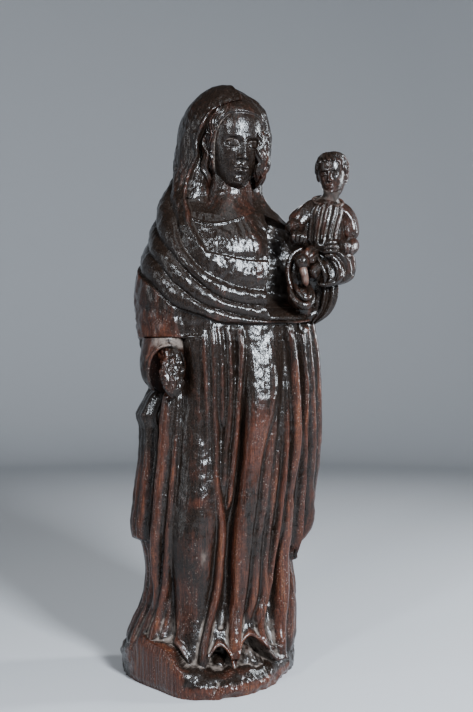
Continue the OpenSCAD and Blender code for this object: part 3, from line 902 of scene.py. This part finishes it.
# %% Tubes, eggs and stacks
def tube(path, radii, rows=60, cols=40, relief=None, flat=1.0, dome=0.25, marks=None):
    """An oval carried along a smooth curve through the path's points, with rounded ends. relief
    takes the share along and the angle round, and flat is the oval's depth over its width."""
    path, count = np.array(path, float), len(path)
    share = (1 - np.cos(np.linspace(0, np.pi, rows))) / 2
    knots = np.arange(count) / (count - 1)
    centre = np.stack([curve(np.stack([knots, path[:, i]], 1), share) for i in range(3)], 1)
    ahead = np.gradient(centre, axis=0)
    ahead /= np.linalg.norm(ahead, axis=1, keepdims=True) + 1e-9
    reference = np.array([0, -1, 0.02]) if abs(ahead[:, 1]).mean() < 0.75 else np.array([0, 0.02, 1])
    side = np.cross(ahead, reference)
    side /= np.linalg.norm(side, axis=1, keepdims=True)
    front = np.cross(side, ahead)
    radius = curve(np.stack([np.linspace(0, 1, len(radii)), radii], 1), share)
    ends = np.clip(np.minimum(share, 1 - share) / dome, 0, 1)
    radius = radius * np.sqrt(np.clip(1 - (1 - ends) ** 2, 0.0004, 1))
    angle = np.linspace(0, 2 * np.pi, cols, endpoint=False)
    along, around = np.meshgrid(share, angle, indexing="ij")
    extra = relief(along, around) if relief else np.zeros_like(along)
    reach = radius[:, None] + extra * (radius / radius.max())[:, None]
    grid = (centre[:, None] + reach[..., None] * np.sin(around)[..., None] * side[:, None]
            + flat * reach[..., None] * np.cos(around)[..., None] * front[:, None])
    return grid[..., 0], grid[..., 1], grid[..., 2], {**worn(extra, 8), **(marks or {})}, fan_ends


def turned_about(x, y, z, yaw=0.0, bow=0.0, lean=0.0):
    """The points leaned sideways, then bowed forward, then turned about the upright, in degrees."""
    yaw, bow, lean = np.radians([yaw, bow, lean])
    x, z = x * np.cos(lean) + z * np.sin(lean), z * np.cos(lean) - x * np.sin(lean)
    y, z = y * np.cos(bow) - z * np.sin(bow), y * np.sin(bow) + z * np.cos(bow)
    return x * np.cos(yaw) - y * np.sin(yaw), x * np.sin(yaw) + y * np.cos(yaw), z


def egg(centre, half, rows=60, cols=80, relief=None, yaw=0.0, bow=0.0, lean=0.0, marks=None):
    """An ellipsoid. relief takes the angle round from the front and the angle up from level, in
    degrees, and raises the surface along the line from the centre."""
    around, up = np.meshgrid(np.linspace(-180, 180, cols, endpoint=False), np.linspace(-89, 89, rows))
    a, b = np.radians(around), np.radians(up)
    extra = relief(around, up) if relief else np.zeros_like(a)
    share = 1 + extra / np.mean(half)
    x = half[0] * np.sin(a) * np.cos(b) * share
    y = -half[1] * np.cos(a) * np.cos(b) * share
    z = half[2] * np.sin(b) * share
    x, y, z = turned_about(x, y, z, yaw, bow, lean)
    return x + centre[0], y + centre[1], z + centre[2], {**worn(extra, 8), **(marks or {})}, fan_ends


def stack(stations, rows=120, cols=160, relief=None, marks=None):
    """Ovals stacked up the height. A station holds height, middle x, half width, middle y and
    half depth; relief takes the angle round from the front in degrees, and the height."""
    stations = np.array(stations, float)
    around, z = np.meshgrid(np.linspace(-180, 180, cols, endpoint=False),
                            np.linspace(stations[0, 0], stations[-1, 0], rows))
    middle_x, half, middle_y, depth = (curve(stations[:, [0, i]], z) for i in range(1, 5))
    extra = relief(around, z) if relief else np.zeros_like(z)
    a = np.radians(around)
    x = middle_x + (half + extra) * np.sin(a)
    y = middle_y - (depth + extra) * np.cos(a)
    return x, y, z, {**worn(extra, 12), **(marks or {})}, fan_ends


# %% [markdown]
# Both heads use one calm, even face, laid out by the rule of thirds: eyes half way up, the nose a
# quarter above the chin, the mouth between them. The eyes look down. Each feature is a soft
# hill or hollow on the front of an egg.

# %% Heads
# Height from chin (-1) to crown (1), half width, front depth, back depth
HEAD = np.array([
    [-1.0, 0.05, 0.16, 0.0], [-0.97, 0.16, 0.40, 0.05], [-0.9, 0.27, 0.55, 0.12], [-0.75, 0.38, 0.62, 0.30],
    [-0.5, 0.49, 0.66, 0.50], [-0.2, 0.57, 0.69, 0.66], [0.1, 0.62, 0.72, 0.76], [0.4, 0.62, 0.70, 0.80],
    [0.65, 0.54, 0.60, 0.70], [0.82, 0.40, 0.44, 0.52], [0.93, 0.25, 0.27, 0.32], [0.985, 0.11, 0.12, 0.14],
    [1.0, 0.02, 0.02, 0.02],
])
NOSE = [(0.22, 0.0), (0.12, 0.03), (0.0, 0.07), (-0.15, 0.125), (-0.26, 0.175), (-0.31, 0.17), (-0.36, 0.0)]
NOSE_WIDTH = [(0.2, 0.10), (0.0, 0.055), (-0.2, 0.07), (-0.3, 0.085), (-0.36, 0.09)]
# Lower edge of the hair at each turn from the front: a woman's long hair, a child's short hair
LONG_HAIR = [(0, 0.68), (20, 0.66), (38, 0.56), (50, 0.32), (57, 0.0), (61, -0.4), (65, -0.95)]
SHORT_HAIR = [(0, 0.56), (25, 0.52), (45, 0.36), (60, 0.16), (74, -0.02), (100, -0.28), (140, -0.5),
              (180, -0.55)]


def face_features(x, t):
    """How far the face stands forward of the plain egg, at a place across and up."""
    wide = np.abs(x)

    def hill(across, up, half_across, half_up):
        return bell((wide - across) / half_across, (t - up) / half_up)

    out = -0.09 * hill(0.22, 0.03, 0.16, 0.10)
    out += 0.03 * bell((t - 0.17 + 0.5 * (wide - 0.24) ** 2) / 0.05) * hump((wide - 0.27) / 0.24)
    ball = 1 - ((wide - 0.245) / 0.135) ** 2 - (t / 0.082) ** 2
    out += 0.085 * np.sqrt(np.clip(ball, 0, 1))
    bow = 1 - ((wide - 0.245) / 0.14) ** 2
    for level, depth in ((0.055 * bow, -0.016), (-0.035 - 0.012 * bow, 0.018), (-0.052 - 0.018 * bow, -0.020),
                         (-0.068 - 0.022 * bow, 0.014)):
        out += depth * bell((t - level) / 0.011) * np.clip(bow, 0, 1) ** 0.5
    out += curve(NOSE, t) * bell(x / curve(NOSE_WIDTH, t))
    out += 0.065 * hill(0.10, -0.29, 0.042, 0.045) - 0.04 * hill(0.055, -0.345, 0.03, 0.02)
    out += 0.045 * hill(0, -0.52, 0.24, 0.15) - 0.014 * hill(0, -0.41, 0.022, 0.045)
    line = -0.525 + 0.012 * np.cos(x * 24)
    out += 0.034 * bell((t - line - 0.042) / 0.032) * hump(x / 0.17, 0.8)
    out += 0.040 * bell((t - line + 0.05) / 0.04) * hump(x / 0.14, 0.8)
    out -= 0.03 * bell((t - line) / 0.012) * hump(x / 0.18, 0.6)
    out += 0.07 * hill(0, -0.80, 0.15, 0.11) - 0.028 * hill(0, -0.675, 0.13, 0.04)
    return out + 0.035 * hill(0.35, -0.22, 0.16, 0.18)


def head(centre, size, yaw, bow, lean, hairline, hair, marks=None):
    """A head with its hair. size is half its height, and hair gives the relief of the locks
    from the turn and the height."""
    turns = np.concatenate([np.linspace(low, high, count, endpoint=False)
                            for low, high, count in ((-180, -88, 36), (-88, 88, 220), (88, 180, 36))])
    turn, t = np.meshgrid(turns, np.sin(np.radians(np.linspace(-89, 89, 230))))
    s, c = np.sin(np.radians(turn)), np.cos(np.radians(turn))
    half, fore, rear = (curve(HEAD[:, [0, i]], t) for i in (1, 2, 3))
    depth = np.where(c > 0, fore, np.maximum(rear, 0.02))
    r = ((np.abs(s) / half) ** 2.2 + (np.abs(c) / depth) ** 2.2) ** (-1 / 2.2)
    x, y = r * s, -r * c
    line = curve(hairline, np.abs(turn))
    haired = step(-0.02, 0.03, t - line) * step(-0.8, -0.45, t) * step(1.0, 0.93, t)
    front = step(0.1, 0.5, c)
    face = face_features(x, t) * front * (1 - haired)
    locks = haired * hair(turn, t)
    ear = ((np.abs(turn) - 86) / 11) ** 2 + ((t + 0.12) / 0.17) ** 2
    locks = np.maximum(locks, 0.12 * hump(ear, 0.6) - 0.05 * np.exp(-ear * 9))
    x, y, z = x + s * locks, y - c * locks - face, t + 0.5 * locks * step(0.6, 0.95, t)
    x, y, z = turned_about(x * size, y * size, z * size, yaw, bow, lean)
    look = worn((face + locks) * size, 12)
    return x + centre[0], y + centre[1], z + centre[2], {**look, **(marks or {})}, fan_ends


def long_locks(turn, t):
    """Wavy locks that run down the side of the head from a middle parting."""
    phase = np.abs(turn) / 7 + 0.6 * np.sin(t * 11)
    full = 0.10 * step(58, 78, turn) * bell((t + 0.15) / 0.5)
    return 0.06 + full + 0.03 * np.sin(2 * np.pi * phase) * step(34, 52, np.abs(turn))


def short_locks(turn, t):
    """Short curls, combed forward over the brow."""
    phase = turn / 17 + 0.9 * t + 0.3 * np.sin(t * 9)
    curls = 0.04 * np.sin(2 * np.pi * phase) * step(0.98, 0.7, t)
    return 0.07 + curls + 0.02 * noise(turn / 12 + 40, t * 7, 12)


def lock(points, radii):
    """A loose lock: a tube along a wavy path, grooved into strands that turn round it."""
    return tube(points, radii, 110, 44, lambda s, a: 0.9 * np.sin(5 * a + 16 * s), dome=0.12)


mary_head = skin("mary_head", [
    lock([(72, -70, 916), (80, -67, 900), (75, -70, 884), (83, -63, 868), (77, -63, 852), (82, -53, 838),
          (76, -38, 824)], [4, 7.5, 8, 8, 7.5, 7, 5]),
    lock([(68, -80, 908), (75, -76, 892), (70, -77, 876), (77, -70, 860), (71, -66, 845), (74, -50, 830)],
         [4, 6, 6, 6, 5.5, 4]),
    lock([(80, -50, 914), (90, -51, 896), (85, -50, 878), (91, -46, 860), (85, -44, 844), (86, -32, 828)],
         [4, 8, 8, 8, 7, 5]),
    lock([(-4, -56, 914), (-14, -46, 893), (-9, -48, 873), (-14, -41, 852), (-8, -38, 836), (-4, -28, 820)],
         [4, 6.5, 7, 7, 6, 4]),
    head((37, -33, 893), 77, 8, 8, 3, LONG_HAIR, long_locks, {"tone": -0.1}),
    stack([[752, 28, 74, -22, 66], [768, 28, 66, -24, 58], [780, 29, 56, -25, 50], [793, 30, 46, -25, 43],
           [810, 32, 39, -26, 37], [835, 33, 36, -28, 34], [862, 35, 35, -30, 32]], 90, 140,
          lambda a, z: 0.7 * bell((z - 812 - a / 12) / 3) + 0.4 * noise(a / 16 + 20, z / 9, 14)),
], ROBE_WAX)

# %% [markdown]
# The back board is held by eight forged nails, with their heads let into the wood.

# %% Nails
nails = skin("back_nails", [layer for place in NAILS for layer in nail(back_board, *place)], IRON)
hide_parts("back_board_nails")

# %% [markdown]
# The right arm ends in a wide turned-back cuff, doweled under the sleeve. The hand is lost: what
# is left is a crumbled stump of wood in the mouth of the cuff.

# %% Right cuff and stump
def cuff():
    """An oval that hangs below the sleeve. Its mouth is cut inwards, with a rolled rim."""
    around, z = np.meshgrid(np.linspace(-180, 180, 260, endpoint=False), np.linspace(476, 565, 150))
    size = curve([(476, 0.1), (479, 0.34), (485, 0.58), (495, 0.82), (510, 0.97), (530, 1.0), (552, 0.97),
                  (565, 0.93)], z)
    a = np.radians(around)
    x = -87 + 3 * step(520, 565, z) + 37 * size * np.sin(a)
    y = -56 + 6 * step(520, 565, z) - 44 * size * np.cos(a)
    across = np.sqrt(((x + 83) / 27) ** 2 + ((z - 512) / 37) ** 2)
    mouth = step(1.12, 0.94, across**2) * (np.cos(a) > 0)
    rim = 3.2 * bell((across - 1.13) / 0.07) - 1.6 * bell((across - 1.30) / 0.05)
    rim = rim * (np.cos(a) > 0) + 0.6 * noise(around / 12 + 30, z / 9, 21)
    x, y = x + rim * np.sin(a), y - rim * np.cos(a)
    y = y + mouth * np.maximum(-48 - y, 0)
    dust = np.clip(step(540, 560, z) * step(-60, -10, around) * 1.4, 0, 1)
    look = worn(rim)
    return x, y, z, {"wear": look["wear"], "dust": np.maximum(look["dust"] * 0.4, dust), "tone": 0.15}, fan_ends


def crumbled(along, around):
    """Broken end grain: deep bumps at two sizes."""
    return (3.2 * noise(around * 2.4 + 9, along * 9, 31) + 1.8 * noise(around * 6 + 9, along * 22, 32)
            - 2.5 * step(0.55, 0.9, noise(around * 3 + 40, along * 12, 33)))


right_cuff = skin("right_cuff_skin", [cuff()], ROBE_WAX)
stump = skin("right_stump", [
    tube([(-80, -66, 556), (-78, -84, 530), (-76, -96, 500), (-73, -100, 467)], [16, 18, 18, 13], 150, 120,
         crumbled, marks={"tone": 0.15}),
], ROBE_WAX)
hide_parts("right_cuff")
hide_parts("right_forearm")

# %% [markdown]
# Her left hand comes out of a fan of sleeve folds and holds the Child's foot in its palm. The
# hand and the sleeve end are blocks of their own, doweled into the recess.

# %% Left hand and sleeve
CHILD_WAX = waxed_wood("waxed_red_wood", BLACK_BROWN, RED_BROWN, ORANGE_BROWN, 0.12, 0.45)

left_hand = skin("left_hand_skin", [
    egg((142, -84, 632), (22, 26, 20), 70, 100, lambda a, b: 0.5 * noise(a / 16 + 20, b / 14 + 9, 41)),
    tube([(121, -86, 656), (121, -98, 640), (127, -108, 626), (139, -113, 619), (151, -110, 624),
          (157, -100, 638), (154, -90, 652)], [4.5, 5.5, 6, 6.5, 6, 5, 4], 90, 28, dome=0.06),
    tube([(129, -96, 655), (130, -108, 643), (137, -116, 632), (146, -115, 632), (151, -106, 642),
          (149, -96, 653)], [3.5, 4, 4.5, 4.5, 4, 3], 80, 24, dome=0.06),
    # The inside of the cupped palm: a dark egg sunk in the hand, painted shade in the hollow.
    egg((140, -92, 640), (11, 14, 12), 40, 60, marks={"tone": -1.0}),
    tube([(132, -78, 618), (150, -78, 615), (168, -66, 611), (182, -50, 608)], [11, 12, 13, 14], 60, 50,
         flat=0.9),
], CHILD_WAX)
sleeve_end = skin("left_sleeve_skin", [
    stack([[590, 166, 4, -62, 12], [594, 168, 9, -62, 20], [602, 175, 14, -63, 25], [615, 183, 17, -64, 28],
           [630, 188, 18.5, -65, 29], [645, 190, 19, -66, 29], [656, 190, 18, -66, 28],
           [662, 190, 13, -66, 22]],
          110, 200, lambda a, z: 3.2 * np.sin(np.radians(a * 9 + (z - 655) * 1.2)) * step(100, 70, np.abs(a))),
    # The sleeve's lower end under the hand, darkened as painted shade.
    tube([(148, -70, 596), (162, -74, 604), (176, -66, 612), (190, -48, 616)], [7, 11, 14, 16], 50, 40,
         marks={"tone": -0.5}),
], CHILD_WAX)
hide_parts("left_hand")
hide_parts("left_sleeve_end")

# %% [markdown]
# The Child sits on her arm in a pleated tunic. The body, with arms, fists and knees, is one
# block, and the head is another on a dowel through the collar.

# %% The Child
TUNIC_PLEATS = [-46, -26, -6, 16, 38]


def tunic(around, z):
    """Upright pleats on the chest, leaning a little to the Child's right as they go down."""
    relief = 0.4 * noise(around / 14 + 30, z / 8, 51)
    fade = step(722, 732, z) * step(793, 784, z)
    for middle in TUNIC_PLEATS:
        lean = (z - 790) * 0.22
        relief = np.maximum(relief, 7 * fade * hump((around - middle - lean) / 7.5, 0.8))
    return relief


def lap_folds(around, z):
    """Curved folds that fall across the lap and turn under at the hem."""
    sweep = around / 19 + (z - 690) / 26 + 0.00022 * (z - 690) ** 2
    folds = 6 * np.abs(np.sin(sweep * np.pi * 0.5)) ** 1.2 * step(150, 100, np.abs(around)) * step(720, 706, z)
    return folds + 0.5 * noise(around / 14 + 30, z / 8, 52)


def sleeve_rings(count, height):
    """Rings round a sleeve near its wrist end."""
    return lambda along, around: height * np.sin(2 * np.pi * count * along) * step(0.45, 0.75, along)


def finger(points, radius=3.3):
    """A short tube, thickest at its middle joint."""
    return tube(points, [radius, radius * 1.15, radius * 1.1, radius * 0.85], 36, 22, dome=0.12)


def collar_loop():
    """Points round the collar's rim: an oval tipped forward, closed behind the neck."""
    angle = np.linspace(0, 2 * np.pi, 25)
    x, y, z = turned_about(26 * np.sin(angle), 22 * np.cos(angle), 0 * angle, bow=30)
    return np.stack([x + 193, y - 72, z + 798], 1)


def tilted_dish():
    """The inside of the collar: a shallow cone round the neck, tipped forward."""
    x, y, z, marks, ends = stack([[-10, 0, 25, 0, 21], [-2, 0, 25.5, 0, 21.5], [2, 0, 21, 0, 18],
                                  [6, 2, 16.5, 0, 15.5], [22, 4, 15, 0, 15]], 50, 90)
    x, y, z = turned_about(x, y, z, bow=30)
    return x + 193, y - 72, z + 797, {"dust": 0.5, "wear": marks["wear"]}, ends


child = skin("child_body_skin", [
    stack([[698, 188, 32, -64, 36], [712, 187, 31, -64, 34], [730, 185, 29, -63, 31], [760, 187, 31, -64, 31],
           [778, 189, 33, -66, 28], [788, 190, 29, -67, 26], [796, 191, 22, -68, 21], [801, 192, 16, -68, 16]],
          144, 260, tunic),
    stack([[653, 188, 6, -82, 16], [657, 194, 16, -80, 27], [664, 202, 23, -76, 36], [676, 206, 26, -73, 40],
           [690, 206, 28, -71, 42], [703, 200, 33, -70, 42], [713, 192, 33, -68, 38], [722, 188, 26, -66, 30]],
          140, 240, lap_folds),
    tube([(164, -104, 702), (171, -111, 683), (175, -113, 669), (176, -106, 655)], [3, 4, 4, 3], 60, 24),
    tube([(206, -104, 708), (213, -107, 691), (213, -104, 676)], [3, 3.6, 3], 50, 24),
    tube([(187, -108, 698), (196, -112, 679), (194, -108, 661)], [2.6, 3.2, 2.6], 50, 24),
    tube([(166, -98, 655), (182, -107, 654), (203, -108, 663), (222, -97, 678), (229, -82, 692)],
         [3.4, 4, 4, 4, 3.4], 80, 26, dome=0.1),
    # A dark egg behind the Child's knee, painted shade behind the leg.
    egg((134, -76, 672), (15, 18, 34), 60, 60, marks={"tone": -0.5}),
    tube([(143, -92, 716), (124, -92, 702), (117, -92, 676), (121, -94, 652), (128, -96, 634)],
         [4, 4.5, 4.5, 4, 3], 90, 26, dome=0.06),
    # The flank under the Child's arm, a little darker as painted shade.
    egg((160, -62, 748), (22, 20, 36), 50, 60, marks={"tone": -0.3}),
    egg((208, -60, 748), (24, 22, 38), 50, 60),
    # A dark egg under the lap, behind the legs, as painted shade.
    egg((166, -62, 676), (28, 24, 40), 50, 60, marks={"tone": -0.9}),
    tube(collar_loop(), [2.5] * 25, 160, 20, dome=0.01, marks={"wear": 0.9, "dust": 0.5}),
    tilted_dish(),
], CHILD_WAX)
child_limbs = skin("child_limbs_skin", [
    tube([(172, -70, 700), (158, -88, 702), (140, -104, 695)], [18, 17, 14], 60, 60,
         lambda s, a: 1.6 * np.sin(7 * a + 9 * s)),
    egg((139, -104, 691), (13.5, 13.5, 14), 50, 70),
    tube([(138, -107, 684), (141, -112, 668), (145, -109, 651)], [7.5, 6, 5], 50, 36,
         marks={"dust": 0.7, "wear": 1.0, "tone": 1.2}),
    tube([(180, -88, 690), (166, -102, 681), (152, -110, 668)], [12, 10.5, 9], 50, 40, dome=0.12),
    tube([(190, -62, 788), (170, -64, 785), (150, -71, 772), (128, -80, 753)], [10, 16, 17, 14], 80, 60,
         lambda s, a: 1.5 * np.sin(5 * a + 6 * s) * step(0.1, 0.4, s), dome=0.15),
    tube([(124, -82, 757), (130, -92, 748), (134, -98, 740)], [14, 14.5, 13], 60, 60, sleeve_rings(5, 2.2),
         dome=0.2),
    egg((131, -99, 731), (12.5, 12, 12), 50, 70),
    finger([(124, -106, 740), (122, -111, 733), (122, -108, 725)]),
    finger([(130, -109, 739), (128, -114, 732), (128, -110, 723)]),
    finger([(136, -109, 738), (135, -114, 731), (134, -110, 722)]),
    finger([(141, -106, 737), (141, -111, 730), (140, -107, 722)]),
    tube([(192, -62, 789), (213, -62, 785), (229, -66, 766), (234, -73, 732)], [10, 16, 17, 15], 80, 60,
         lambda s, a: 1.3 * np.sin(5 * a + 4 * s) * step(0.2, 0.5, s), dome=0.15),
    tube([(234, -70, 728), (226, -86, 720), (212, -98, 715), (202, -104, 713)], [16, 15.5, 13.5, 11], 90, 60,
         sleeve_rings(7, 1.6), dome=0.2),
    egg((190, -106, 713), (13, 9, 12.5), 50, 70),
    finger([(194, -112, 723), (183, -117, 723), (173, -113, 720)], 3.4),
    finger([(195, -114, 716), (182, -119, 716), (172, -114, 713)], 3.4),
    finger([(195, -114, 709), (182, -118, 709), (172, -113, 707)], 3.3),
    finger([(194, -112, 703), (184, -115, 702), (175, -111, 701)], 3.1),
], CHILD_WAX)
child_head = skin("child_head_skin", [
    head((201, -72, 843), 39, -30, 6, -2, SHORT_HAIR, short_locks, {"tone": 0.15}),
], CHILD_WAX)
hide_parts("child_body")
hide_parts("child_head")

# %% [markdown]
# The floor is pale and curves up into a wall all round, as in a studio. One soft key light stands
# in front and above, narrower ones at the sides, and weak ones above and behind. The room itself
# is dim, so that the wax shows its highlights and stays dark between them.

# %% Floor, wall and lights
def studio_sweep():
    """A round floor that bends up into a wall all the way round, along a quarter circle."""
    bend = np.radians(np.linspace(0, 90, 25))
    reach = np.concatenate([[0.01, 1.0, 2.0, 3.0], 3.2 + np.sin(bend), [4.2]])
    up = np.concatenate([np.zeros(4), 1 - np.cos(bend), [3.2]])
    angle = np.linspace(0, 2 * np.pi, 96, endpoint=False)
    points = np.stack([np.outer(reach, np.cos(angle)), np.outer(reach, np.sin(angle)),
                       np.outer(up, np.ones(96))], 2).reshape(-1, 3)
    row, column = np.meshgrid(np.arange(len(reach) - 1) * 96, np.arange(96), indexing="ij")
    beside = (column + 1) % 96
    quads = np.stack([row + column, row + 96 + column, row + 96 + beside, row + beside], 2).reshape(-1, 4)
    mesh = bpy.data.meshes.new("studio_sweep")
    mesh.from_pydata(points.tolist(), [], quads.tolist() + [list(range(96))])
    mesh.shade_smooth()
    g = Graph("pale_paper")
    g.shader.inputs["Base Color"].default_value = (0.40, 0.40, 0.41, 1)
    g.shader.inputs["Roughness"].default_value = 0.9
    g.shader.inputs["Specular IOR Level"].default_value = 0.1
    mesh.materials.append(g.material)
    sweep = bpy.data.objects.new("studio_sweep", mesh)
    bpy.context.scene.collection.objects.link(sweep)


def soft_light(name, turn, rise, distance, size, power, colour):
    """A rectangular light at a turn from the front and a rise above level, aimed at the waist."""
    turn, rise = np.radians(turn), np.radians(rise)
    aim = np.array([0.03, 0, 0.55])
    way = np.array([np.sin(turn) * np.cos(rise), -np.cos(turn) * np.cos(rise), np.sin(rise)])
    data = bpy.data.lights.new(name, "AREA")
    data.shape = "RECTANGLE"
    data.size, data.size_y = size
    data.energy = power
    data.color = colour
    light = bpy.data.objects.new(name, data)
    light.location = aim + way * distance
    light.rotation_euler = (np.pi / 2 - rise, 0, turn)
    bpy.context.scene.collection.objects.link(light)


studio_sweep()
soft_light("key_light", 17, 24, 2.5, (0.42, 0.80), 215, (0.82, 0.91, 1))
soft_light("left_window", -38, 30, 2.5, (0.22, 0.4), 34, (0.86, 0.93, 1))
soft_light("left_strip", -80, 15, 2.2, (0.15, 1.8), 10, (0.9, 0.96, 1))
soft_light("right_strip", 90, 14, 2.2, (0.2, 1.2), 70, (0.86, 0.94, 1))
soft_light("top_light", 0, 66, 2.4, (1.0, 1.0), 7, (0.9, 0.96, 1))
soft_light("back_light", 165, 18, 2.6, (0.9, 0.9), 7, (0.95, 0.97, 1))
world = bpy.data.worlds.new("studio_room")
world.use_nodes = True
background = world.node_tree.nodes["Background"]
background.inputs["Color"].default_value = (0.8, 0.85, 0.9, 1)
background.inputs["Strength"].default_value = 0.05
bpy.context.scene.world = world
print("the studio has", len(bpy.data.lights), "lights")
